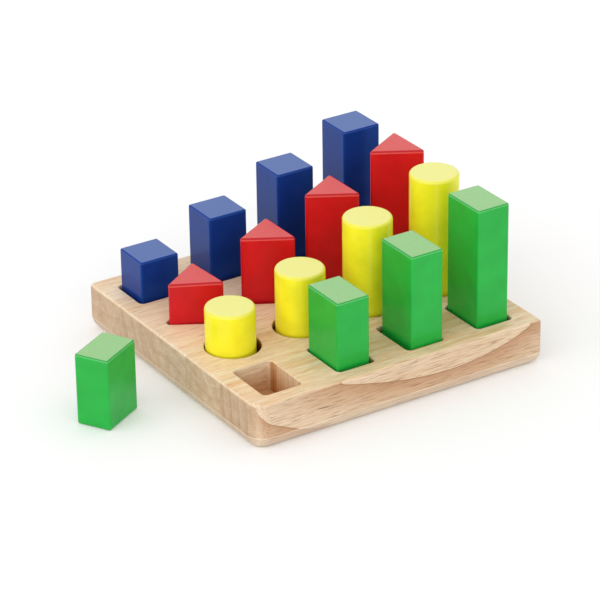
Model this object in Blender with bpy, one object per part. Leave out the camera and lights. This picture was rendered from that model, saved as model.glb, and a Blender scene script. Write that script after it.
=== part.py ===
"""Wooden shape sorter: an edge-glued board with sixteen sockets and sixteen lift-out blocks.

Lengths are in metres and +Z is up. The origin is the middle of the board's underside.
+X runs along the grain, from the shortest blocks to the tallest.
+Y runs from the rectangle row to the square row.
"""
import math
from collections import namedtuple

import bmesh
import bpy
from mathutils import Vector

# Blocks: sizes in plan, then heights
SQUARE_SIDE = 0.0307
TRIANGLE_SIDE = 0.0405
CYLINDER_DIAMETER = 0.0356
RECTANGLE_WIDTH = 0.0262
RECTANGLE_LENGTH = 0.0375
SHORTEST_HEIGHT = 0.0532
HEIGHT_STEP = 0.0194
SECOND_CYLINDER_SHORTFALL = 0.0050
BLOCK_EDGE_ROUND = 0.0012

# Sockets: each is the outline of its block with a clearance all round
SOCKET_CLEARANCE = 0.0022
SOCKET_DEPTH = 0.0229
SEAT_GAP = 0.0003

# Board: wood left under, between and outside the sockets
SOCKET_FLOOR = 0.0110
COLUMN_BRIDGE = 0.0172
ROW_BRIDGE = 0.0107
RIM = 0.0122
NEAR_CORNER_RADIUS = 0.0125
RIGHT_CORNER_RADIUS = 0.0030
FAR_CORNER_RADIUS = 0.0050
LEFT_CORNER_RADIUS = 0.0050
TOP_EDGE_ROUND = 0.0025
BOTTOM_EDGE_ROUND = 0.0060
GLUE_LINE = 0.0003
STAVE_COUNT = 5

# The short rectangle stands on the floor, out from the board's short-block end
LOOSE_BLOCK_DISTANCE = 0.0565
LOOSE_BLOCK_OFFSET = -0.0121
LOOSE_BLOCK_TURN = math.radians(-60.0)

# Rows from front to back, and the columns of rising height in each
ROWS = ("rectangle", "cylinder", "triangle", "square")
COLUMNS = 4

# How far along X some sockets were drilled off the grid
SOCKET_DRIFT = {
    ("rectangle", 0): -0.0021,
    ("rectangle", 3): 0.0008,
    ("cylinder", 0): 0.0034,
    ("cylinder", 1): 0.0018,
    ("cylinder", 2): 0.0008,
    ("triangle", 0): 0.0010,
    ("triangle", 1): 0.0012,
}

# How far some blocks have slid in their loose sockets, as shares of the play along X and Y
SETTLED = {
    "rectangle_block_2": (-0.5, 0.3),
    "rectangle_block_3": (0.7, -0.5),
    "rectangle_block_4": (-0.4, 0.0),
    "cylinder_block_1": (-0.6, 0.4),
    "triangle_block_1": (-0.5, -0.25),
    "triangle_block_2": (0.7, -0.4),
    "triangle_block_4": (-0.8, 0.1),
}

# How far a block has turned in its loose socket, anticlockwise from above
TURNED = {"triangle_block_1": math.radians(3.5)}

# Facets round a corner in plan, in a quarter of a cylinder, and across a rounded edge
BLOCK_CORNER_STEPS = 3
BOARD_CORNER_STEPS = 6
CYLINDER_STEPS = 9
BLOCK_EDGE_STEPS = 2
BOARD_EDGE_STEPS = 3

BOARD_THICKNESS = SOCKET_FLOOR + SOCKET_DEPTH
SETTLE_PLAY = SOCKET_CLEARANCE - SEAT_GAP
OVERCUT = 0.0100
MERGE_DISTANCE = 0.000001
SMOOTH_ANGLE = math.radians(35)

COLOURS = {
    "wood": "#E3C49C",
    "rectangle": "#35AC42",
    "cylinder": "#F3E72C",
    "triangle": "#D51B20",
    "square": "#2B3F8C",
}
PAINT_ROUGHNESS = 0.35
WOOD_ROUGHNESS = 0.55

# A convex outline anticlockwise, with one arc per corner: mitre points out of the corner, to a parallel's corner
Arc = namedtuple("Arc", "centre mitre start turn radius")
Outline = namedtuple("Outline", "arcs steps")


def clear_scene():
    for obj in list(bpy.data.objects):
        bpy.data.objects.remove(obj, do_unlink=True)


def linear_channel(value):
    if value <= 0.04045:
        return value / 12.92
    return ((value + 0.055) / 1.055) ** 2.4


def linear_colour(code):
    channels = [int(code[i:i + 2], 16) / 255 for i in (1, 3, 5)]
    return [linear_channel(c) for c in channels] + [1.0]


def make_material(name, code, roughness):
    material = bpy.data.materials.new(name)
    material.use_nodes = True
    shader = material.node_tree.nodes["Principled BSDF"]
    shader.inputs["Base Color"].default_value = linear_colour(code)
    shader.inputs["Roughness"].default_value = roughness
    shader.inputs["Metallic"].default_value = 0.0
    return material


def edge_normal(start, end):
    along = (end - start).normalized()
    return Vector((along.y, -along.x))


def rounded_outline(corners, radii, steps):
    """The outline of a convex polygon, given anticlockwise, with a radius for each corner."""
    corners = [Vector(corner) for corner in corners]
    arcs = []
    for i, (corner, radius) in enumerate(zip(corners, radii)):
        before = edge_normal(corners[i - 1], corner)
        after = edge_normal(corner, corners[(i + 1) % len(corners)])
        mitre = (before + after) / (1.0 + before.dot(after))
        start = math.atan2(before.y, before.x)
        arcs.append(Arc(corner - mitre * radius, mitre, start, before.angle(after), radius))
    return Outline(arcs, steps)


def box_corners(width, length):
    x = width / 2
    y = length / 2
    return [(-x, -y), (x, -y), (x, y), (-x, y)]


def triangle_corners(side):
    """An equilateral triangle with one corner towards -X, centred on its own box."""
    x = side * math.sqrt(3) / 4
    y = side / 2
    return [(-x, 0.0), (x, -y), (x, y)]


def block_outlines():
    rectangle = box_corners(RECTANGLE_WIDTH, RECTANGLE_LENGTH)
    # A cylinder is a square box whose corners are rounded until they meet
    cylinder = box_corners(CYLINDER_DIAMETER, CYLINDER_DIAMETER)
    triangle = triangle_corners(TRIANGLE_SIDE)
    square = box_corners(SQUARE_SIDE, SQUARE_SIDE)
    return {
        "rectangle": rounded_outline(rectangle, [BLOCK_EDGE_ROUND] * 4, BLOCK_CORNER_STEPS),
        "cylinder": rounded_outline(cylinder, [CYLINDER_DIAMETER / 2] * 4, CYLINDER_STEPS),
        "triangle": rounded_outline(triangle, [BLOCK_EDGE_ROUND] * 3, BLOCK_CORNER_STEPS),
        "square": rounded_outline(square, [BLOCK_EDGE_ROUND] * 4, BLOCK_CORNER_STEPS),
    }


def board_outline(length, width):
    radii = [NEAR_CORNER_RADIUS, RIGHT_CORNER_RADIUS, FAR_CORNER_RADIUS, LEFT_CORNER_RADIUS]
    return rounded_outline(box_corners(length, width), radii, BOARD_CORNER_STEPS)


def ring_points(outline, grow):
    """Points round the outline, moved outwards by grow everywhere."""
    points = []
    for arc in outline.arcs:
        radius = max(arc.radius + grow, 0.0)
        # A corner that is moved in by more than its radius comes to a point on its mitre
        centre = arc.centre + arc.mitre * min(arc.radius + grow, 0.0)
        for k in range(outline.steps + 1):
            angle = arc.start + arc.turn * k / outline.steps
            points.append((centre.x + radius * math.cos(angle), centre.y + radius * math.sin(angle)))
    return points


def rounded_levels(height, bottom_round, top_round, steps):
    """Heights and insets of the rings of a solid with rounded bottom and top edges."""
    angles = [math.pi / 2 * k / steps for k in range(steps + 1)]
    levels = []
    for angle in angles:
        levels.append((bottom_round * (1 - math.cos(angle)), bottom_round * (math.sin(angle) - 1)))
    for angle in reversed(angles):
        levels.append((height - top_round * (1 - math.cos(angle)), top_round * (math.sin(angle) - 1)))
    return levels


def add_prism(bm, outline, levels, x=0.0, y=0.0):
    rings = []
    for z, grow in levels:
        rings.append([bm.verts.new((x + px, y + py, z)) for px, py in ring_points(outline, grow)])
    count = len(rings[0])
    for lower, upper in zip(rings, rings[1:]):
        for i in range(count):
            j = (i + 1) % count
            bm.faces.new((lower[i], lower[j], upper[j], upper[i]))
    bm.faces.new(reversed(rings[0]))
    bm.faces.new(rings[-1])


def finish_mesh(bm, name):
    bmesh.ops.remove_doubles(bm, verts=bm.verts, dist=MERGE_DISTANCE)
    mesh = bpy.data.meshes.new(name)
    bm.to_mesh(mesh)
    bm.free()
    mesh.shade_smooth()
    mesh.set_sharp_from_angle(angle=SMOOTH_ANGLE)
    return mesh


def add_object(name, mesh, material, parent):
    obj = bpy.data.objects.new(name, mesh)
    mesh.materials.append(material)
    bpy.context.scene.collection.objects.link(obj)
    obj.parent = parent
    return obj


def add_cutter(name, bm):
    obj = bpy.data.objects.new(name, finish_mesh(bm, name))
    bpy.context.scene.collection.objects.link(obj)
    obj.hide_render = True
    obj.display_type = "WIRE"
    return obj


def add_boolean(obj, operation, cutter):
    modifier = obj.modifiers.new(cutter.name, "BOOLEAN")
    modifier.operation = operation
    modifier.solver = "EXACT"
    modifier.object = cutter


def widest_reach(outlines):
    """The farthest that any socket reaches from its own centre, along X and along Y."""
    points = []
    for outline in outlines.values():
        points += ring_points(outline, SOCKET_CLEARANCE)
    return max(abs(x) for x, y in points), max(abs(y) for x, y in points)


def plan_layout(outlines):
    """Socket centres by row and column, with the board's length and width."""
    reach_x, reach_y = widest_reach(outlines)
    pitch_x = 2 * reach_x + COLUMN_BRIDGE
    pitch_y = 2 * reach_y + ROW_BRIDGE
    half_x = pitch_x * (COLUMNS - 1) / 2
    half_y = pitch_y * (len(ROWS) - 1) / 2
    centres = {}
    for j, row in enumerate(ROWS):
        for i in range(COLUMNS):
            drift = SOCKET_DRIFT.get((row, i), 0.0)
            centres[row, i] = (i * pitch_x - half_x + drift, j * pitch_y - half_y)
    length = 2 * (half_x + reach_x + RIM)
    width = 2 * (half_y + reach_y + RIM)
    return centres, length, width


def add_socket_cutter(outlines, centres):
    bm = bmesh.new()
    levels = [(SOCKET_FLOOR, SOCKET_CLEARANCE), (BOARD_THICKNESS + OVERCUT, SOCKET_CLEARANCE)]
    for (row, _), (x, y) in centres.items():
        add_prism(bm, outlines[row], levels, x, y)
    return add_cutter("socket_cutter", bm)


def add_stave_slab(index, length, width):
    """The slice of the board that one stave fills, up to its share of the glue line."""
    stave_width = width / STAVE_COUNT
    front = index * stave_width - width / 2
    back = front + stave_width
    front += GLUE_LINE / 2 if index > 0 else -OVERCUT
    back += -GLUE_LINE / 2 if index < STAVE_COUNT - 1 else OVERCUT
    outline = rounded_outline(box_corners(length + 2 * OVERCUT, back - front), [0.0] * 4, 1)
    bm = bmesh.new()
    levels = [(-OVERCUT, 0.0), (BOARD_THICKNESS + OVERCUT, 0.0)]
    add_prism(bm, outline, levels, 0.0, (front + back) / 2)
    return add_cutter(f"stave_slab_{index + 1}", bm)


def build_board(outlines, centres, length, width, parent):
    wood = make_material("rubberwood", COLOURS["wood"], WOOD_ROUGHNESS)
    board = board_outline(length, width)
    levels = rounded_levels(BOARD_THICKNESS, BOTTOM_EDGE_ROUND, TOP_EDGE_ROUND, BOARD_EDGE_STEPS)
    sockets = add_socket_cutter(outlines, centres)
    for index in range(STAVE_COUNT):
        name = f"board_stave_{index + 1}"
        bm = bmesh.new()
        add_prism(bm, board, levels)
        stave = add_object(name, finish_mesh(bm, name), wood, parent)
        add_boolean(stave, "INTERSECT", add_stave_slab(index, length, width))
        add_boolean(stave, "DIFFERENCE", sockets)


def block_height(row, column):
    height = SHORTEST_HEIGHT + column * HEIGHT_STEP
    if row == "cylinder" and column == 1:
        height -= SECOND_CYLINDER_SHORTFALL
    return height


def build_block(name, outline, height, material, parent):
    bm = bmesh.new()
    levels = rounded_levels(height, BLOCK_EDGE_ROUND, BLOCK_EDGE_ROUND, BLOCK_EDGE_STEPS)
    add_prism(bm, outline, levels)
    return add_object(name, finish_mesh(bm, name), material, parent)


def seat_block(block, centre):
    share_x, share_y = SETTLED.get(block.name, (0.0, 0.0))
    x = centre[0] + share_x * SETTLE_PLAY
    y = centre[1] + share_y * SETTLE_PLAY
    block.location = (x, y, SOCKET_FLOOR + SEAT_GAP)
    block.rotation_euler = (0.0, 0.0, TURNED.get(block.name, 0.0))


def build_blocks(outlines, centres, length, parent):
    for row in ROWS:
        material = make_material(f"{row}_paint", COLOURS[row], PAINT_ROUGHNESS)
        for column in range(COLUMNS):
            name = f"{row}_block_{column + 1}"
            block = build_block(name, outlines[row], block_height(row, column), material, parent)
            seat_block(block, centres[row, column])
    loose = bpy.data.objects["rectangle_block_1"]
    loose.location = (-length / 2 - LOOSE_BLOCK_DISTANCE, LOOSE_BLOCK_OFFSET, 0.0)
    loose.rotation_euler = (0.0, 0.0, LOOSE_BLOCK_TURN)


def main():
    clear_scene()
    sorter = bpy.data.objects.new("shape_sorter", None)
    bpy.context.scene.collection.objects.link(sorter)
    outlines = block_outlines()
    centres, length, width = plan_layout(outlines)
    build_board(outlines, centres, length, width, sorter)
    build_blocks(outlines, centres, length, sorter)


main()
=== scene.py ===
import math

import bmesh
import bpy
from mathutils import Matrix, Vector


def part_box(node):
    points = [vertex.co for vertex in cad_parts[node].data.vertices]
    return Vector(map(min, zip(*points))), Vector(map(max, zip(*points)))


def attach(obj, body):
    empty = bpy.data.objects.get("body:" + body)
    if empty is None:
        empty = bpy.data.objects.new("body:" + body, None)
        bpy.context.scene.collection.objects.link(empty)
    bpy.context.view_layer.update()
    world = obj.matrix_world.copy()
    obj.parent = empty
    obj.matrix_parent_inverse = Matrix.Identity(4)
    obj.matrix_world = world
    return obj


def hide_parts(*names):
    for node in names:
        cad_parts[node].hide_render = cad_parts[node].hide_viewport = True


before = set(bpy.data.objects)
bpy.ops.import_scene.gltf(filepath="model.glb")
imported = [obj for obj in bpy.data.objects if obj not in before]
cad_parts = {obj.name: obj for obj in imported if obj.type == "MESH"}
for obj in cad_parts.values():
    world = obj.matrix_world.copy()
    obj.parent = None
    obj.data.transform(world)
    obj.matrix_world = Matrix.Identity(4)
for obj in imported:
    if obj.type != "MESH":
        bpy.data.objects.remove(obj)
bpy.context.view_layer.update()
scene = bpy.context.scene
scene.view_settings.view_transform = "Standard"
mm = 0.001
white = "#ffffff"
coatIor = 1.5   # of lacquer and of enamel


def hexColour(code):
    # sRGB hex to the linear colour that the shader works in
    linear = []
    for at in (1, 3, 5):
        value = int(code[at:at + 2], 16) / 255
        linear.append(value / 12.92 if value <= 0.04045 else ((value + 0.055) / 1.055) ** 2.4)
    return (*linear, 1.0)


def addNode(tree, kind, inputs=None, stops=None, **settings):
    # a node given as an input is linked by its first live output, a list is linked item by item
    node = tree.nodes.new(kind)
    for name, value in settings.items():
        setattr(node, name, value)
    for key, value in (inputs or {}).items():
        for source in value if isinstance(value, list) else [value]:
            if isinstance(source, bpy.types.Node):
                source = next(socket for socket in source.outputs if socket.enabled)
            if isinstance(source, bpy.types.NodeSocket):
                tree.links.new(source, node.inputs[key])
            else:
                node.inputs[key].default_value = source
    if stops:
        ramp = node.color_ramp.elements
        while len(ramp) < len(stops):
            ramp.new(0.5)
        for element, (at, code) in zip(ramp, stops):
            element.position = at
            element.color = hexColour(code)
    return node


def maths(tree, operation, *values, **settings):
    return addNode(tree, "ShaderNodeMath", dict(enumerate(values)), operation=operation, **settings)


def vectorMaths(tree, operation, *values):
    return addNode(tree, "ShaderNodeVectorMath", dict(enumerate(values)), operation=operation)


def mapped(tree, value, given=(0.0, 1.0), wanted=(0.0, 1.0), **settings):
    # a value between the two given ones becomes one between the two wanted ones, and no other
    return addNode(tree, "ShaderNodeMapRange", {
        "Value": value, "From Min": given[0], "From Max": given[1],
        "To Min": wanted[0], "To Max": wanted[1]}, **settings)


def mixed(tree, factor, under, over, blend="MIX"):
    # the colour inputs of a mix share their names with its other inputs, so they go by number
    under, over = (hexColour(item) if isinstance(item, str) else item for item in (under, over))
    return addNode(tree, "ShaderNodeMix", {
        "Factor": factor, 6: under, 7: over}, data_type="RGBA", blend_type=blend)


def newMaterial(name):
    material = bpy.data.materials.new(name)
    material.use_nodes = True
    material.node_tree.nodes.clear()
    return material, material.node_tree


def linkedObject(name, data):
    obj = bpy.data.objects.new(name, data)
    scene.collection.objects.link(obj)
    return obj


def removeWithMesh(obj):
    mesh = obj.data
    bpy.data.objects.remove(obj)
    bpy.data.meshes.remove(mesh)


# the board: how its edges and sockets are worked, in mm and degrees
boardLook = {
    "cornerRounds": (12.5, 3.0, 5.0, 5.0), "cornerSteps": 14,
    "topRound": 2.5, "bottomRound": 6.0, "edgeSteps": 6, "arrisHeight": 8.3, "arrisAngle": 65.0,
    "socketRound": 1.2, "socketSteps": 8, "roundSocketSteps": 20, "socketClearance": 2.2, "socketFloor": 11.0,
    "rimRound": 0.9, "rimSteps": 5, "glueLine": 0.05, "slabSpare": 10.0, "sharpAngle": 14.0, "weld": 0.002,
    "cutterRise": (0.1, 2.0), "cutterFlare": 1.05,   # shares of the rim round
}
staveCount = 5
# sockets that were routed off the even grid, in mm along the board
socketDrift = {
    "rectangle": (-2.1, 0.0, 0.0, 0.8),
    "cylinder": (3.4, 1.8, 0.8, 0.0),
    "triangle": (1.6, 1.2, 0.0, 0.0),
    "square": (0.0, 0.0, 0.0, 0.0),
}
# the block of each row that stands in the middle of its socket, across the row
centredBlock = {"rectangle": 4, "cylinder": 4, "triangle": 3, "square": 1}

# Rubberwood under clear satin lacquer: pale straw wood with pinkish growth bands that end in a fine brown
# line, short brown pore dashes along the grain, mottled ends, router burns and painted shade in the sockets.
woodLook = {
    # across one growth ring, and the even tone that covers the rings where they are quiet
    "bands": [(0.0, "#a97b58"), (0.03, "#c8a383"), (0.16, "#d0ae90"), (0.55, "#e1cbb0"), (0.96, "#ead7bd")],
    "quietBand": "#fff0d6", "quietRouted": 0.75,
    # how far a face has to turn to an end, a long side or the top to look like one: from not at all to fully
    "facingEnd": (0.62, 0.96), "facingSide": (0.35, 0.9), "facingTop": (0.6, 0.95), "facingFront": -0.9,
    # pores, from the noise value where one starts, and how strong they are on the top and on the long sides
    "pore": "#916a49", "poreNoise": (0.59, 0.69), "poreShare": (0.5, 0.85),
    # socket walls, in mm below the top: painted shade that darkens them towards the floor, and more so around
    # a seated block
    "routed": "#e8cfb4", "routedShadeDepth": 20.0, "seated": "#a08062", "seatedShadeDepth": (0.6, 4.5),
    "burnSize": (3.0, 60.0), "burnDetail": 3.0, "burnNoise": (0.34, 0.62),
    # the lacquer, less rough on the raised fibres
    "roughness": (0.48, 0.36), "roughNoise": (0.3, 0.7), "specular": 0.3,
    "bumpStrength": 0.35, "bumpHeight": 0.06,
}

# noise along the grain: size along and across it in mm, detail, roughness and, for a tint, the noise values
# between which its colour fades to white. Real pores are 0.2 mm wide: drawn wider, so that they show.
woodNoise = {
    "wobble": {"size": (110.0, 36.0), "detail": 3.0, "rough": 0.5},
    "tone": {"size": (240.0, 26.0), "detail": 2.0, "rough": 0.5, "fade": (0.3, 0.7), "colour": "#f8f0e8"},
    "fibre": {"size": (26.0, 0.8), "detail": 3.0, "rough": 0.6, "fade": (0.3, 0.65), "colour": "#eee3d6"},
    "streak": {"size": (70.0, 4.5), "detail": 4.0, "rough": 0.6, "fade": (0.36, 0.64), "colour": "#f3d3b0"},
    "pore": {"size": (13.0, 0.42), "detail": 1.0, "rough": 0.5},
    "mottle": {"size": (60.0, 7.0), "detail": 3.0, "rough": 0.5, "fade": (0.35, 0.62), "colour": "#f2e9e0"},
}
noiseStep = (3.7, 5.3, 1.9)   # from stave to stave, so that no two are alike

# lines over the wood, in mm: a greyer round under the arris, the paler arris, the glue line at the front edge
# of a stave, and a pale ray across the front end of one stave, from its top front edge (across, up)
woodLines = {
    "belowArris": {"colour": "#d6c8b6", "share": 0.4, "fade": (1.2, 0.2)},
    "arris": {"colour": "#f3e3c8", "below": 0.1, "reach": 0.45},
    "glue": {"colour": "#a5805e", "share": 0.5, "reach": 0.35},
    "ray": {"colour": "#f6e2cb", "share": 0.75, "reach": 0.38, "stave": 2,
            "from": (21.7, -2.5), "to": (8.5, -18.1)},
}

# router burns in the sockets, from the burnt streaks to the wood between them
burnPale, burnDark = ("#ecd6bb", white), ("#c9a07c", "#e8cdb0")
# per stave, in mm: the heart of the tree from the stave's top front edge (across, up), with another one where
# the ends show it elsewhere, the spacing of its growth rings, how these sweep along the board before and
# after a place, how quiet they are on the top and on the ends, and how strong the streaks of the top are
staveGrain = [
    {"heart": (-8000.0, 6000.0), "endHeart": (-4000.0, 300.0), "spacing": 21.9, "endSpacing": 10.07,
     "sweep": (6.7, 12.1), "sweepAt": 42.0, "wobble": 1.5, "shift": 11.2,
     "quiet": (0.84, 0.45), "streaks": 0.85, "endTone": "#dcd4cd", "burn": burnPale},
    {"heart": (17.0, 38.0), "spacing": 7.5, "endSpacing": 7.5,
     "sweep": (-1.5, -1.5), "sweepAt": -40.0, "wobble": 3.0, "shift": 1.0,
     "quiet": (0.88, 0.60), "streaks": 0.65, "endTone": "#e3dcd6", "burn": burnDark},
    {"heart": (30.0, -80.0), "spacing": 8.0, "endSpacing": 11.0,
     "sweep": (2.5, 2.5), "sweepAt": 60.0, "wobble": 4.0, "shift": 4.0,
     "quiet": (0.92, 0.60), "streaks": 0.40, "endTone": "#e5dfda", "burn": burnPale},
    {"heart": (-60.0, 25.0), "spacing": 6.5, "endSpacing": 13.0,
     "sweep": (-2.0, -2.0), "sweepAt": 10.0, "wobble": 3.0, "shift": 2.0,
     "quiet": (0.92, 0.60), "streaks": 0.40, "endTone": "#dcd4ce", "burn": burnPale},
    {"heart": (28.0, 60.0), "spacing": 7.5, "endSpacing": 12.0,
     "sweep": (1.5, 1.5), "sweepAt": -70.0, "wobble": 3.5, "shift": 0.0,
     "quiet": (0.92, 0.60), "streaks": 0.40, "endTone": "#e0dad5", "burn": burnPale},
]
sweepSpan = 82.0   # mm along the board in which the rings sweep by the amount given


def makeRubberwood(number, grain, figureCentre):
    material, tree = newMaterial("rubberwoodStave%d" % number)
    coordinates = addNode(tree, "ShaderNodeTexCoord").outputs
    # millimetres from the middle of this stave's figure
    place = addNode(tree, "ShaderNodeMapping", {
        "Vector": coordinates["Object"], "Location": tuple(-value for value in figureCentre),
        "Scale": (1 / mm, 1 / mm, 1 / mm)})
    along = addNode(tree, "ShaderNodeSeparateXYZ", {"Vector": place}).outputs
    facing = addNode(tree, "ShaderNodeSeparateXYZ", {"Vector": coordinates["Normal"]}).outputs
    routed = addNode(tree, "ShaderNodeAttribute", attribute_name="routed").outputs["Fac"]
    seated = addNode(tree, "ShaderNodeAttribute", attribute_name="seated").outputs["Fac"]

    def grainNoise(name):
        noise = woodNoise[name]
        lengthwise, crosswise = noise["size"]
        stretched = addNode(tree, "ShaderNodeMapping", {
            "Vector": place, "Location": tuple(number * step for step in noiseStep),
            "Scale": (1 / lengthwise, 1 / crosswise, 1 / crosswise)})
        return addNode(tree, "ShaderNodeTexNoise", {
            "Vector": stretched, "Scale": 1.0, "Detail": noise["detail"], "Roughness": noise["rough"]})

    def multiplied(under, over, factor=1.0):
        return mixed(tree, factor, under, over, "MULTIPLY")

    def tinted(under, name, noise, factor=1.0):
        low, high = woodNoise[name]["fade"]
        tint = addNode(tree, "ShaderNodeValToRGB", {"Fac": noise}, stops=[
            (low, woodNoise[name]["colour"]), (high, white)])
        return multiplied(under, tint, factor)

    # growth rings around the heart, swept along the board and wavy
    crossCut = vectorMaths(tree, "MULTIPLY", place, (0.0, 1.0, 1.0))
    share = maths(tree, "MULTIPLY", along["X"], 1 / sweepSpan)
    shareSquared = maths(tree, "MULTIPLY", share, share)
    slope = mapped(tree, maths(tree, "GREATER_THAN", share, 0.0), wanted=grain["sweep"])
    wave = maths(tree, "MULTIPLY", grainNoise("wobble"), grain["wobble"] * 2)
    sweep = maths(tree, "MULTIPLY_ADD", shareSquared, slope, wave)

    def ringBands(heart, spacing):
        fromHeart = vectorMaths(tree, "DISTANCE", crossCut, (0.0, *heart))
        swept = maths(tree, "ADD", fromHeart.outputs["Value"], sweep)
        start = (grain["shift"] - math.hypot(*heart)) / spacing
        phase = maths(tree, "FRACT", maths(tree, "MULTIPLY_ADD", swept, 1 / spacing, start))
        return addNode(tree, "ShaderNodeValToRGB", {"Fac": phase}, stops=woodLook["bands"])

    # the bands show on the long sides and are quieter on the top, on the ends and in the sockets
    sideMask = mapped(tree, maths(tree, "ABSOLUTE", facing["Y"]), woodLook["facingSide"])
    endMask = mapped(tree, maths(tree, "ABSOLUTE", facing["X"]), woodLook["facingEnd"],
                     interpolation_type="SMOOTHSTEP")
    bands = mixed(tree, endMask, ringBands(grain["heart"], grain["spacing"]),
                  ringBands(grain.get("endHeart", grain["heart"]), grain["endSpacing"]))
    quietOutside = maths(tree, "MULTIPLY", mapped(tree, endMask, wanted=grain["quiet"]),
                         mapped(tree, sideMask, wanted=(1.0, 0.0)))
    quietRouted = maths(tree, "MULTIPLY", routed, woodLook["quietRouted"])
    quieted = mixed(tree, maths(tree, "MAXIMUM", quietOutside, quietRouted), bands, woodLook["quietBand"])

    # slow change of tone, fine fibres, brown streaks along the top and pores
    fibre = grainNoise("fibre")
    fibred = tinted(tinted(quieted, "tone", grainNoise("tone")), "fibre", fibre)
    topMask = mapped(tree, facing["Z"], woodLook["facingTop"], (0.0, grain["streaks"]))
    streaked = tinted(fibred, "streak", grainNoise("streak"), topMask)
    poreAmount = maths(tree, "MULTIPLY", mapped(tree, grainNoise("pore"), woodLook["poreNoise"]),
                       mapped(tree, sideMask, wanted=woodLook["poreShare"]))
    pored = mixed(tree, poreAmount, streaked, woodLook["pore"])

    # cut ends drink more lacquer, so they are darker and blotchy
    outerEnd = maths(tree, "SUBTRACT", endMask, routed, use_clamp=True)
    ended = multiplied(pored, grain["endTone"], outerEnd)
    mottled = tinted(ended, "mottle", grainNoise("mottle"), outerEnd)

    # painted shade darkens the socket walls towards the floor, and the router burns upright streaks across
    # the grain
    deepShade = mapped(tree, along["Z"], (-woodLook["routedShadeDepth"], 0.0), (1.0, 0.0))
    deepShaded = multiplied(mottled, woodLook["routed"], maths(tree, "MULTIPLY", routed, deepShade))
    burnWidth, burnHeight = woodLook["burnSize"]
    burnPlace = addNode(tree, "ShaderNodeMapping", {
        "Vector": place, "Scale": (1 / burnHeight, 1 / burnWidth, 1 / burnHeight)})
    burn = addNode(tree, "ShaderNodeTexNoise", {
        "Vector": burnPlace, "Scale": 1.0, "Detail": woodLook["burnDetail"]})
    burnColour = addNode(tree, "ShaderNodeValToRGB", {"Fac": burn}, stops=list(zip(
        woodLook["burnNoise"], grain["burn"])))
    burnt = multiplied(deepShaded, burnColour, maths(tree, "MULTIPLY", routed, endMask))
    # painted shade on the socket walls around a seated block, from just below the rim, full a few mm down
    shallow, deeper = woodLook["seatedShadeDepth"]
    seatedShade = maths(tree, "MULTIPLY", seated, mapped(tree, along["Z"], (-deeper, -shallow), (1.0, 0.0)))
    finished = multiplied(burnt, woodLook["seated"], seatedShade)

    # the lines over the wood
    height = addNode(tree, "ShaderNodeSeparateXYZ", {"Vector": coordinates["Object"]}).outputs["Z"]
    below, arris, glue, ray = (woodLines[name] for name in ("belowArris", "arris", "glue", "ray"))
    arrisHeight = boardLook["arrisHeight"]
    belowFade = tuple((arrisHeight - depth) * mm for depth in below["fade"])
    arrisNear = maths(tree, "COMPARE", height, (arrisHeight - arris["below"]) * mm, arris["reach"] * mm)
    lines = [(mapped(tree, height, belowFade, (below["share"], 0.0)), below),
             (maths(tree, "MULTIPLY", arrisNear, fibre), arris)]
    if number > 1:
        glueNear = maths(tree, "COMPARE", along["Y"], 0.0, glue["reach"])
        lines.append((maths(tree, "MULTIPLY", glueNear, glue["share"]), glue))
    if number == ray["stave"]:
        start, end = Vector(ray["from"]), Vector(ray["to"])
        across = Vector((start.y - end.y, end.x - start.x)).normalized()
        offLine = vectorMaths(tree, "DOT_PRODUCT", place, (0.0, *across))
        onLine = maths(tree, "COMPARE", offLine.outputs["Value"], across.dot(start), ray["reach"])
        fading = mapped(tree, along["Z"], (end.y, start.y), (0.0, ray["share"]))
        frontEnd = maths(tree, "LESS_THAN", facing["X"], woodLook["facingFront"])
        lines.append((maths(tree, "MULTIPLY", onLine, maths(tree, "MULTIPLY", fading, frontEnd)), ray))
    for mask, line in lines:
        finished = mixed(tree, mask, finished, line["colour"])

    roughness = mapped(tree, fibre, woodLook["roughNoise"], woodLook["roughness"])
    relief = maths(tree, "SUBTRACT", fibre, poreAmount)
    bump = addNode(tree, "ShaderNodeBump", {
        "Height": relief, "Strength": woodLook["bumpStrength"], "Distance": woodLook["bumpHeight"] * mm})
    shader = addNode(tree, "ShaderNodeBsdfPrincipled", {
        "Base Color": finished, "Roughness": roughness, "Normal": bump,
        "IOR": coatIor, "Specular IOR Level": woodLook["specular"]})
    addNode(tree, "ShaderNodeOutputMaterial", {"Surface": shader})
    return material


# Satin enamel sprayed on sanded wood: an even colour, a soft sheen with a faint orange peel, the grain just
# showing through, a painted sheen that makes the top paler, painted shade on the eased rim with a narrow
# painted highlight under it, and a narrow painted shadow, broken up, where a seated block meets the rim of
# its socket.
# per paint: the top colour is a painted sheen of the bright surround on the top face, the rim colour painted
# shade on the eased rim, the pale line colour under it a painted highlight, and the last value how dark the
# painted shadow at the socket's rim is
paintLook = {
    "green_paint": {
        "colour": "#16af3d", "top": "#97c985", "rim": "#1f9c3d", "paintedGlint": "#79cf86", "topSheenDepth": (0.02, 0.12),
        "rimDepth": 0.6, "paintedGlintShare": 0.4, "specular": 0.40, "sheen": white, "gapShade": 0.60},
    "yellow_paint": {
        "colour": "#fff42b", "top": "#edeb8e", "rim": "#ece34a", "paintedGlint": "#f3ee7c", "topSheenDepth": (0.1, 0.6),
        "rimDepth": 1.3, "paintedGlintShare": 0.5, "specular": 0.30, "sheen": white, "gapShade": 0.32},
    "red_paint": {
        "colour": "#d0141f", "top": "#da504e", "rim": "#b8131c", "paintedGlint": "#f0625f", "topSheenDepth": (0.02, 0.12),
        "rimDepth": 1.2, "paintedGlintShare": 0.6, "specular": 0.25, "sheen": white, "gapShade": 0.45},
    "blue_paint": {
        "colour": "#123886", "top": "#546ea9", "rim": "#123583", "paintedGlint": "#4a6cba", "topSheenDepth": (0.02, 0.12),
        "rimDepth": 0.7, "paintedGlintShare": 0.25, "specular": 0.30, "sheen": "#6fa0ff", "gapShade": 0.60},
}
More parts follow.
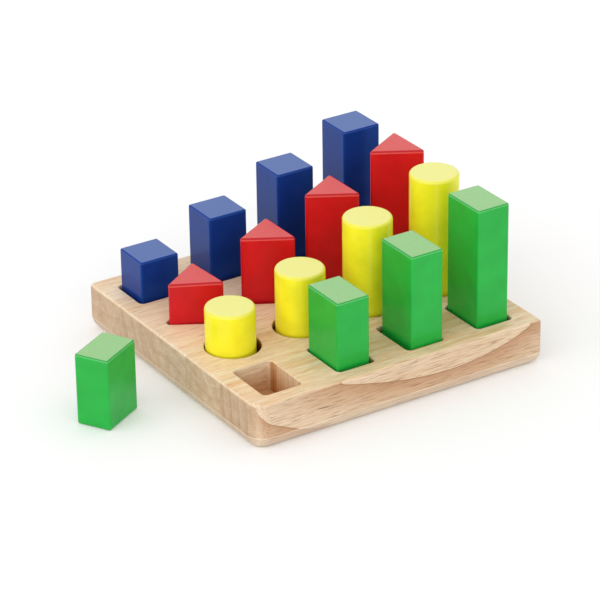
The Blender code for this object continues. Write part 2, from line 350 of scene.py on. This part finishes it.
# what all four share, in mm: the grain's size is across and along
enamelLook = {
    "grainSize": (1.1, 20.0), "grainDetail": 2.0, "peelSize": 2.4, "peelDetail": 1.0, "peelShare": 0.5,
    "patchSize": 16.0, "patchDetail": 2.0, "patch": "#f0f0f0", "noise": (0.3, 0.7), "topSheenShare": (0.85, 0.95),
    "rimFade": 0.3, "paintedGlintWidth": 0.8, "roughness": (0.18, 0.26), "bumpStrength": 0.15, "bumpHeight": 0.05,
}
# painted shadow of the gap at a seated block's foot, in mm below and above the socket's rim; noise makes it
# darker in some places than in others.
gapShadeLine = {"colour": "#3c3430", "depth": 1.8, "above": 0.1, "noise": (0.36, 0.62), "share": (0.15, 1.0)}


def makeEnamel(name, look, rimHeight=None):
    material, tree = newMaterial(name)
    place = addNode(tree, "ShaderNodeTexCoord").outputs["Object"]
    across, along = enamelLook["grainSize"]
    grainPlace = addNode(tree, "ShaderNodeMapping", {
        "Vector": place, "Scale": (1 / (across * mm), 1 / (across * mm), 1 / (along * mm))})
    grain = addNode(tree, "ShaderNodeTexNoise", {
        "Vector": grainPlace, "Scale": 1.0, "Detail": enamelLook["grainDetail"]})
    peel, patch = (addNode(tree, "ShaderNodeTexNoise", {
        "Vector": place, "Scale": 1 / (enamelLook[kind + "Size"] * mm),
        "Detail": enamelLook[kind + "Detail"]}) for kind in ("peel", "patch"))
    patchColour = addNode(tree, "ShaderNodeValToRGB", {"Fac": patch}, stops=list(zip(
        enamelLook["noise"], (enamelLook["patch"], white))))
    finished = mixed(tree, 1.0, look["colour"], patchColour, "MULTIPLY")

    belowTop = addNode(tree, "ShaderNodeAttribute", attribute_name="belowTop").outputs["Fac"]
    rimDepth = look["rimDepth"]
    # painted shade over the eased rim
    rimShadeMask = mapped(tree, belowTop, (rimDepth * mm, (rimDepth + enamelLook["rimFade"]) * mm), (1.0, 0.0))
    # a painted sheen of the bright surround on the top face, mottled by the peel
    topMask = mapped(tree, belowTop, tuple(depth * mm for depth in look["topSheenDepth"]), (1.0, 0.0))
    paintedTopSheen = maths(tree, "MULTIPLY", topMask, mapped(tree, peel, enamelLook["noise"], enamelLook["topSheenShare"]))
    # a painted highlight line just under the rim
    glintHalf = enamelLook["paintedGlintWidth"] / 2
    glintNear = maths(tree, "COMPARE", belowTop, (rimDepth + glintHalf) * mm, glintHalf * mm)
    glintMask = maths(tree, "MULTIPLY", glintNear, look["paintedGlintShare"])
    coats = [(rimShadeMask, look["rim"]), (paintedTopSheen, look["top"]), (glintMask, look["paintedGlint"])]
    # a narrow painted shadow, broken up by noise, where the gap at the socket's rim shades a seated block; it
    # stays on the block when it is lifted
    if rimHeight is not None:
        height = addNode(tree, "ShaderNodeSeparateXYZ", {"Vector": place}).outputs["Z"]
        upper = mapped(tree, height, (rimHeight, rimHeight + gapShadeLine["above"] * mm), (look["gapShade"], 0.0))
        lower = mapped(tree, height, (rimHeight - gapShadeLine["depth"] * mm, rimHeight))
        gapShadeBreakup = mapped(tree, patch, gapShadeLine["noise"], gapShadeLine["share"])
        gapShadeMask = maths(tree, "MULTIPLY", maths(tree, "MULTIPLY", upper, lower), gapShadeBreakup)
        coats.append((gapShadeMask, gapShadeLine["colour"]))
    for mask, code in coats:
        finished = mixed(tree, mask, finished, code)

    relief = maths(tree, "MULTIPLY_ADD", peel, enamelLook["peelShare"], grain)
    bump = addNode(tree, "ShaderNodeBump", {
        "Height": relief, "Strength": enamelLook["bumpStrength"], "Distance": enamelLook["bumpHeight"] * mm})
    roughness = mapped(tree, patch, enamelLook["noise"], enamelLook["roughness"])
    shader = addNode(tree, "ShaderNodeBsdfPrincipled", {
        "Base Color": finished, "Roughness": roughness, "Normal": bump, "IOR": coatIor,
        "Specular IOR Level": look["specular"], "Specular Tint": hexColour(look["sheen"])})
    addNode(tree, "ShaderNodeOutputMaterial", {"Surface": shader})
    return material


def roundedRing(corners, radii, grow, steps):
    # points of a convex outline whose corners are arcs, moved outwards by grow
    points = []
    neighbours = zip(corners[-1:] + corners[:-1], corners, corners[1:] + corners[:1], radii)
    for before, corner, after, radius in neighbours:
        inward = (before - corner).normalized()
        onward = (after - corner).normalized()
        halfAngle = inward.angle(onward) / 2
        mitre = (inward + onward).normalized() / math.sin(halfAngle)
        grownRadius = max(radius + grow, 0.0)
        # a corner that shrinks past its own radius stays sharp and slides in along the mitre
        centre = corner + mitre * (grownRadius - grow)
        firstNormal = Vector((-inward.y, inward.x))
        turn = math.pi - 2 * halfAngle
        for step in range(steps + 1):
            normal = Matrix.Rotation(turn * step / steps, 2) @ firstNormal
            points.append(centre + normal * grownRadius)
    return points


def loftedMesh(name, outlines, routed=0.0, seated=()):
    # each outline is (corners, corner radii, steps, [(height, grow), ...]), one closed body each
    work = bmesh.new()
    routedMark = work.faces.layers.float.new("routed")
    seatedMark = work.faces.layers.float.new("seated")
    for at, (corners, radii, steps, levels) in enumerate(outlines):
        rings = []
        before = len(work.faces)
        for height, grow in levels:
            ring = roundedRing(corners, radii, grow, steps)
            rings.append([work.verts.new((point.x, point.y, height)) for point in ring])
        for lower, upper in zip(rings, rings[1:]):
            for corner in range(len(lower)):
                work.faces.new((lower[corner - 1], lower[corner], upper[corner], upper[corner - 1]))
        work.faces.new(reversed(rings[0]))
        work.faces.new(rings[-1])
        work.faces.ensure_lookup_table()
        for face in work.faces[before:]:
            face[routedMark] = routed
            face[seatedMark] = seated[at] if seated else 0.0
    bmesh.ops.remove_doubles(work, verts=work.verts, dist=boardLook["weld"] * mm)
    mesh = bpy.data.meshes.new(name)
    work.to_mesh(mesh)
    work.free()
    return mesh


def bakeModifiers(obj, name):
    # the evaluated object as a plain mesh on a fresh object at the origin
    graph = bpy.context.evaluated_depsgraph_get()
    evaluated = obj.evaluated_get(graph)
    mesh = bpy.data.meshes.new_from_object(evaluated, preserve_all_data_layers=True, depsgraph=graph)
    removeWithMesh(obj)
    mesh.name = name
    return linkedObject(name, mesh)


def boxCorners(low, high):
    corners = ((low.x, low.y), (high.x, low.y), (high.x, high.y), (low.x, high.y))
    return [Vector(corner) for corner in corners]


# the kinds of block: how the plan is drawn, in mm. A corner is rounder than an edge, so that the caps close.
blockKinds = {
    "rectangle": {"slot": "green_paint", "sides": 4, "cornerRound": 1.7, "edgeRound": 1.4},
    "cylinder": {"slot": "yellow_paint", "sides": 96, "cornerRound": 0.0, "edgeRound": 2.2},
    "triangle": {"slot": "red_paint", "sides": 3, "cornerRound": 1.9, "edgeRound": 1.7},
    "square": {"slot": "blue_paint", "sides": 4, "cornerRound": 1.6, "edgeRound": 1.35},
}
blockSteps = {"corner": 6, "edge": 5}
blockWeld = 0.005   # mm
blockCount = 4
looseBlock = "rectangle_block_1"
blockTurn = {"rectangle_block_1": -60.0, "triangle_block_1": 3.5}   # degrees, as they stand


def makeBlockTree():
    # a plan with rounded corners, lofted upwards between two rounded rims and capped
    tree = bpy.data.node_groups.new("roundedBlock", "GeometryNodeTree")
    sockets = [
        ("Sides", "Int"), ("Plan Turn", "Float"), ("Plan Scale", "Vector"), ("Plan Shift", "Vector"),
        ("Corner Radius", "Float"), ("Corner Steps", "Int"), ("Edge Radius", "Float"), ("Edge Steps", "Int"),
        ("Height", "Float"), ("Heading", "Float"), ("Place", "Vector"), ("Paint", "Material")]
    for name, kind in sockets:
        tree.interface.new_socket(name, in_out="INPUT", socket_type="NodeSocket" + kind)
    tree.interface.new_socket("Block", in_out="OUTPUT", socket_type="NodeSocketGeometry")
    given = addNode(tree, "NodeGroupInput").outputs

    circle = addNode(tree, "GeometryNodeCurvePrimitiveCircle", {"Resolution": given["Sides"], "Radius": 1.0})
    planTurn = addNode(tree, "ShaderNodeCombineXYZ", {"Z": given["Plan Turn"]})
    turned = addNode(tree, "GeometryNodeTransform", {"Geometry": circle, "Rotation": planTurn})
    sharpPlan = addNode(tree, "GeometryNodeTransform", {
        "Geometry": turned, "Scale": given["Plan Scale"], "Translation": given["Plan Shift"]})
    roundPlan = addNode(tree, "GeometryNodeFilletCurve", {
        "Curve": sharpPlan, "Count": given["Corner Steps"], "Radius": given["Corner Radius"]}, mode="POLY")
    hasCorners = addNode(tree, "FunctionNodeCompare", {
        0: given["Corner Radius"], 1: 0.0}, operation="GREATER_THAN")
    plan = addNode(tree, "GeometryNodeSwitch", {
        "Switch": hasCorners, "False": sharpPlan, "True": roundPlan}, input_type="GEOMETRY")

    tangent = addNode(tree, "GeometryNodeInputTangent")
    outward = vectorMaths(tree, "CROSS_PRODUCT", tangent, (0.0, 0.0, 1.0))
    position = addNode(tree, "GeometryNodeInputPosition")
    planSizes = addNode(tree, "GeometryNodeAttributeDomainSize", {"Geometry": plan}, component="CURVE")
    pointCount = planSizes.outputs["Point Count"]
    columns = maths(tree, "ADD", pointCount, 1.0)
    rows = maths(tree, "MULTIPLY_ADD", given["Edge Steps"], 2.0, 2.0)
    grid = addNode(tree, "GeometryNodeMeshGrid", {"Vertices X": columns, "Vertices Y": rows})

    # which point of the plan and which level each grid point is
    index = addNode(tree, "GeometryNodeInputIndex")
    column = maths(tree, "MODULO", maths(tree, "FLOOR", maths(tree, "DIVIDE", index, rows)), pointCount)
    row = maths(tree, "MODULO", index, rows)
    rowFromTop = maths(tree, "SUBTRACT", maths(tree, "SUBTRACT", rows, 1.0), row)
    rowFromEnd = maths(tree, "MINIMUM", row, rowFromTop)
    arcShare = maths(tree, "DIVIDE", rowFromEnd, given["Edge Steps"])
    arcAngle = maths(tree, "MULTIPLY", arcShare, math.pi / 2)
    sineLess = maths(tree, "SUBTRACT", maths(tree, "SINE", arcAngle), 1.0)
    grow = maths(tree, "MULTIPLY", sineLess, given["Edge Radius"])
    cosineLess = maths(tree, "SUBTRACT", 1.0, maths(tree, "COSINE", arcAngle))
    rise = maths(tree, "MULTIPLY", cosineLess, given["Edge Radius"])
    inUpperHalf = maths(tree, "GREATER_THAN", row, rowFromTop)
    betweenRises = maths(tree, "MULTIPLY_ADD", rise, -2.0, given["Height"])
    height = maths(tree, "MULTIPLY_ADD", inUpperHalf, betweenRises, rise)

    planPoint, planOutward = (addNode(tree, "GeometryNodeSampleIndex", {
        "Geometry": plan, "Value": value, "Index": column}, data_type="FLOAT_VECTOR", domain="POINT")
        for value in (position, outward))
    growVector = addNode(tree, "ShaderNodeVectorMath", {0: planOutward, "Scale": grow}, operation="SCALE")
    grown = vectorMaths(tree, "ADD", planPoint, growVector)
    lift = addNode(tree, "ShaderNodeCombineXYZ", {"Z": height})
    lifted = vectorMaths(tree, "ADD", grown, lift)
    wall = addNode(tree, "GeometryNodeSetPosition", {"Geometry": grid, "Position": lifted})

    inset = maths(tree, "MULTIPLY", given["Edge Radius"], -1.0)
    insetVector = addNode(tree, "ShaderNodeVectorMath", {0: outward, "Scale": inset}, operation="SCALE")
    capPlan = addNode(tree, "GeometryNodeSetPosition", {"Geometry": plan, "Offset": insetVector})
    cap = addNode(tree, "GeometryNodeFillCurve", {"Curve": capPlan}, mode="NGONS")
    topPlace = addNode(tree, "ShaderNodeCombineXYZ", {"Z": given["Height"]})
    topCap = addNode(tree, "GeometryNodeTransform", {"Geometry": cap, "Translation": topPlace})
    bottomCap = addNode(tree, "GeometryNodeFlipFaces", {"Mesh": cap})
    joined = addNode(tree, "GeometryNodeJoinGeometry", {"Geometry": [wall, topCap, bottomCap]})
    closed = addNode(tree, "GeometryNodeMergeByDistance", {"Geometry": joined, "Distance": blockWeld * mm})
    # the paint follows the rim by its depth below the top
    upright = addNode(tree, "ShaderNodeSeparateXYZ", {"Vector": position})
    depth = maths(tree, "SUBTRACT", given["Height"], upright.outputs["Z"])
    marked = addNode(tree, "GeometryNodeStoreNamedAttribute", {
        "Geometry": closed, "Name": "belowTop", "Value": depth}, data_type="FLOAT", domain="POINT")
    headingTurn = addNode(tree, "ShaderNodeCombineXYZ", {"Z": given["Heading"]})
    placed = addNode(tree, "GeometryNodeTransform", {
        "Geometry": marked, "Translation": given["Place"], "Rotation": headingTurn})
    smooth = addNode(tree, "GeometryNodeSetShadeSmooth", {"Geometry": placed})
    realized = addNode(tree, "GeometryNodeRealizeInstances", {"Geometry": smooth})
    painted = addNode(tree, "GeometryNodeSetMaterial", {"Geometry": realized, "Material": given["Paint"]})
    addNode(tree, "NodeGroupOutput", {"Block": painted})
    return tree


def planSize(kindName, number):
    # a turned block's size in plan is read from its neighbour in the row
    node = "%s_block_%d" % (kindName, number)
    if node in blockTurn:
        node = "%s_block_%d" % (kindName, number + 1)
    low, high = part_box(node)
    return high.x - low.x, high.y - low.y


def makeBlock(tree, kindName, number, paint):
    kind = blockKinds[kindName]
    node = "%s_block_%d" % (kindName, number)
    low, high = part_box(node)
    middle = (low + high) / 2
    width, depth = planSize(kindName, number)
    cornerRound = kind["cornerRound"] * mm
    heading = math.radians(blockTurn.get(node, 0.0))
    planTurn, planShift = 0.0, (0.0, 0.0, 0.0)
    if kindName == "triangle":
        # the box ends at the rounded tip: the sharp tip lies one corner round further out
        tipToFlat = width + cornerRound
        planScale = (tipToFlat * 2 / 3,) * 3
        planTurn = math.pi
        planShift = (width / 2 - tipToFlat / 3, 0.0, 0.0)
        # the box of a turned triangle has another middle
        x, y = width / 2 - cornerRound, depth / 2 - cornerRound
        arcs = [Matrix.Rotation(heading, 2) @ Vector(point) for point in ((-x, 0.0), (x, -y), (x, y))]
        for axis in (0, 1):
            reach = [arc[axis] for arc in arcs]
            middle[axis] -= (min(reach) + max(reach)) / 2
    elif kind["sides"] == 4:
        planScale = (width / math.sqrt(2), depth / math.sqrt(2), 1.0)
        planTurn = math.pi / 4
    else:
        planScale = (width / 2, depth / 2, 1.0)
    values = {
        "Sides": kind["sides"], "Plan Turn": planTurn, "Plan Scale": planScale, "Plan Shift": planShift,
        "Corner Radius": cornerRound, "Corner Steps": blockSteps["corner"],
        "Edge Radius": kind["edgeRound"] * mm, "Edge Steps": blockSteps["edge"],
        "Height": high.z - low.z, "Heading": heading, "Place": (middle.x, middle.y, low.z), "Paint": paint,
    }
    rough = linkedObject("rough", bpy.data.meshes.new("rough"))
    loft = rough.modifiers.new("loft", "NODES")
    loft.node_group = tree
    for item in tree.interface.items_tree:
        if item.in_out == "INPUT":
            loft[item.identifier] = values[item.name]
    rough.modifiers.new("flats", "WEIGHTED_NORMAL")
    piece = bakeModifiers(rough, "painted_" + node)
    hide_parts(node)
    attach(piece, node)
    return piece


def boardLevels(top):
    # the bottom round meets the side at a crisp arris, the top round runs in smoothly
    bottom, upper, steps = boardLook["bottomRound"] * mm, boardLook["topRound"] * mm, boardLook["edgeSteps"]
    arris, rise = math.radians(boardLook["arrisAngle"]), boardLook["arrisHeight"] * mm
    levels = []
    for step in range(steps + 1):
        angle = arris * step / steps
        levels.append((rise * (1 - math.cos(angle)) / (1 - math.cos(arris)),
                       bottom * (math.sin(angle) / math.sin(arris) - 1)))
    for step in range(steps + 1):
        angle = math.pi / 2 * step / steps
        levels.append((top - upper * (1 - math.sin(angle)), upper * (math.cos(angle) - 1)))
    return levels


def socketLevels(top):
    # straight walls that roll out into an eased rim, then up clear of the board, a little wider than the rim
    rim, clearance = boardLook["rimRound"] * mm, boardLook["socketClearance"] * mm
    steps = boardLook["rimSteps"]
    levels = [(boardLook["socketFloor"] * mm, clearance)]
    for step in range(steps):
        angle = math.pi / 2 * step / steps
        levels.append((top - rim * (1 - math.sin(angle)), clearance + rim * (1 - math.cos(angle))))
    for rise in boardLook["cutterRise"]:
        levels.append((top + rim * rise, clearance + rim * boardLook["cutterFlare"]))
    return levels


def socketOutlines(columnX, rowY, top):
    levels = socketLevels(top)
    outlines = []
    for kindName, kind in blockKinds.items():
        width, depth = planSize(kindName, 1)
        half = Vector((width / 2, depth / 2))
        radius, steps = boardLook["socketRound"] * mm, boardLook["socketSteps"]
        if kind["sides"] > 4:
            radius, steps = width / 2, boardLook["roundSocketSteps"]
        for column, drift in zip(columnX, socketDrift[kindName]):
            middle = Vector((column + drift * mm, rowY[kindName]))
            corners = boxCorners(middle - half, middle + half)
            if kindName == "triangle":
                tipToFlat = width + radius
                side = tipToFlat * 2 / math.sqrt(3)
                flatX = column + drift * mm + width / 2
                corners = [Vector((flatX - tipToFlat, middle.y)), Vector((flatX, middle.y - side / 2)),
                           Vector((flatX, middle.y + side / 2))]
            outlines.append((corners, [radius] * len(corners), steps, levels))
    return outlines


def makeStaves():
    boxes = [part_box("board_stave_%d" % (number + 1)) for number in range(staveCount)]
    low, high = boxes[0][0], boxes[-1][1]
    columnX = []
    for number in range(blockCount):
        squareLow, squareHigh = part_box("square_block_%d" % (number + 1))
        columnX.append((squareLow.x + squareHigh.x) / 2)
    rowY = {}
    for kindName, standing in centredBlock.items():
        blockLow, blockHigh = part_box("%s_block_%d" % (kindName, standing))
        rowY[kindName] = (blockLow.y + blockHigh.y) / 2
    top = high.z
    radii = [radius * mm for radius in boardLook["cornerRounds"]]
    outer = (boxCorners(low, high), radii, boardLook["cornerSteps"], boardLevels(top))

    outlines = socketOutlines(columnX, rowY, top)
    # the first socket is the empty one
    emptyFirst = [0.0] + [1.0] * (len(outlines) - 1)
    cutter = linkedObject("socketCutter", loftedMesh("socketCutter", outlines, routed=1.0, seated=emptyFirst))
    # the slabs that cut the board into staves reach past it all around
    spare = boardLook["slabSpare"] * mm
    seams = [low.y - spare]
    seams += [(boxes[at][1].y + boxes[at + 1][0].y) / 2 for at in range(staveCount - 1)]
    seams += [high.y + spare]
    slabLevels = [(-spare, 0.0), (top + spare, 0.0)]
    halfGlue = boardLook["glueLine"] * mm / 2
    pieces = []
    for at in range(staveCount):
        number = at + 1
        slabLow = Vector((low.x - spare, seams[at] + halfGlue))
        slabHigh = Vector((high.x + spare, seams[at + 1] - halfGlue))
        slabOutline = (boxCorners(slabLow, slabHigh), [0.0] * 4, 1, slabLevels)
        slab = linkedObject("slab", loftedMesh("slab", [slabOutline]))
        rough = linkedObject("rough", loftedMesh("rough", [outer]))
        for operation, tool in (("INTERSECT", slab), ("DIFFERENCE", cutter)):
            cut = rough.modifiers.new(operation.lower(), "BOOLEAN")
            cut.operation = operation
            cut.object = tool
        piece = bakeModifiers(rough, "rubberwood_stave_%d" % number)
        removeWithMesh(slab)
        piece.data.shade_smooth()
        piece.data.set_sharp_from_angle(angle=math.radians(boardLook["sharpAngle"]))
        piece.modifiers.new("flats", "WEIGHTED_NORMAL").keep_sharp = True
        piece = bakeModifiers(piece, "rubberwood_stave_%d" % number)
        grain = staveGrain[at]
        frontEdge = low.y if at == 0 else seams[at]
        figureCentre = (grain["sweepAt"], frontEdge / mm, top / mm)
        piece.data.materials.clear()
        piece.data.materials.append(makeRubberwood(number, grain, figureCentre))
        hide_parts("board_stave_%d" % number)
        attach(piece, "board")
        pieces.append(piece)
    removeWithMesh(cutter)
    return pieces


staves = makeStaves()
print("board:", len(staves), "staves,", sum(len(stave.data.polygons) for stave in staves), "faces")

blockTree = makeBlockTree()
blocks = []
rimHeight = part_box("board_stave_1")[1].z
for kindName, kind in blockKinds.items():
    paintName = kind["slot"].replace("_paint", "SatinEnamel")
    # the seated blocks' enamel carries the painted shadow at the socket's rim, the loose block's copy has
    # none
    paintWithGapShade = makeEnamel(paintName, paintLook[kind["slot"]], rimHeight)
    for number in range(1, blockCount + 1):
        paint = paintWithGapShade
        if "%s_block_%d" % (kindName, number) == looseBlock:
            paint = makeEnamel(paintName + "Loose", paintLook[kind["slot"]])
        blocks.append(makeBlock(blockTree, kindName, number, paint))
bpy.data.node_groups.remove(blockTree)
print("blocks:", len(blocks), "pieces,", sum(len(block.data.polygons) for block in blocks), "faces")

# the white sweep that the toy stands on, in metres but for the mm that it lies below: it is seen a little
# brighter than it lights the toy
floorLook = {"size": 6.0, "colour": "#f6f6f6", "below": 0.2, "seenGlow": 0.06}


def makeFloor():
    half = floorLook["size"] / 2
    mesh = bpy.data.meshes.new("floor")
    corners = [(-half, -half, 0), (half, -half, 0), (half, half, 0), (-half, half, 0)]
    mesh.from_pydata(corners, [], [(0, 1, 2, 3)])
    mesh.transform(Matrix.Translation((0, 0, -floorLook["below"] * mm)))
    floor = linkedObject("floor", mesh)
    # matt white paper, with a faint glow for the camera alone
    material, tree = newMaterial("whitePaperSweep")
    path = addNode(tree, "ShaderNodeLightPath").outputs
    paper = addNode(tree, "ShaderNodeBsdfDiffuse", {"Color": hexColour(floorLook["colour"])})
    glowStrength = maths(tree, "MULTIPLY", path["Is Camera Ray"], floorLook["seenGlow"])
    glow = addNode(tree, "ShaderNodeEmission", {"Color": hexColour(white), "Strength": glowStrength})
    shader = addNode(tree, "ShaderNodeAddShader", {0: paper, 1: glow})
    addNode(tree, "ShaderNodeOutputMaterial", {"Surface": shader})
    mesh.materials.append(material)


# soft studio light: an even white surround, a broad key from the upper left and a low fill beside the camera
lightLook = {
    "surround": 0.92, "surroundSeen": 1.0,
    "lamps": {
        "key": {"strength": 0.46, "spread": 50.0, "from": (-0.77, 0.0, 0.64)},
        "fill": {"strength": 0.68, "spread": 50.0, "from": (-0.51, -0.82, 0.26)},
    },
}


def makeLight():
    world = bpy.data.worlds.new("studio")
    scene.world = world
    world.use_nodes = True
    tree = world.node_tree
    tree.nodes.clear()
    path = addNode(tree, "ShaderNodeLightPath").outputs
    seen = maths(tree, "MAXIMUM", path["Is Camera Ray"], path["Is Glossy Ray"])
    seenOrThrough = maths(tree, "MAXIMUM", seen, path["Is Transmission Ray"])
    strength = mapped(tree, seenOrThrough, wanted=(lightLook["surround"], lightLook["surroundSeen"]))
    surround = addNode(tree, "ShaderNodeBackground", {"Color": hexColour(white), "Strength": strength})
    addNode(tree, "ShaderNodeOutputWorld", {"Surface": surround})
    for name, look in lightLook["lamps"].items():
        lamp = bpy.data.lights.new(name, "SUN")
        lamp.energy = look["strength"]
        lamp.angle = math.radians(look["spread"])
        sun = linkedObject(name, lamp)
        sun.rotation_euler = Vector(look["from"]).to_track_quat("Z", "Y").to_euler()


# the photograph's view: degrees, metres, and mm for the lens and its sensor
cameraLook = {"aimAt": (0.00832, 0.02965, 0.020), "heading": 57.964, "tilt": 26.554, "roll": -0.882,
              "distance": 2.3052, "clipEnd": 20.0, "lens": 192.38, "sensor": 36.0}


def makeCamera():
    heading, tilt, roll = (math.radians(cameraLook[name]) for name in ("heading", "tilt", "roll"))
    forward = Vector((
        math.cos(tilt) * math.cos(heading), math.cos(tilt) * math.sin(heading), -math.sin(tilt)))
    level = Vector((math.sin(heading), -math.cos(heading), 0))
    upright = level.cross(forward)
    right = math.cos(roll) * level + math.sin(roll) * upright
    up = right.cross(forward)
    lens = bpy.data.cameras.new("camera")
    lens.lens = cameraLook["lens"]
    lens.sensor_width = cameraLook["sensor"]
    lens.sensor_fit = "HORIZONTAL"
    lens.clip_end = cameraLook["clipEnd"]
    camera = linkedObject("camera", lens)
    turn = Matrix((right, up, -forward)).transposed().to_4x4()
    place = Vector(cameraLook["aimAt"]) - forward * cameraLook["distance"]
    camera.matrix_world = Matrix.Translation(place) @ turn
    scene.camera = camera


makeFloor()
makeLight()
makeCamera()
print("floor, light and camera set")
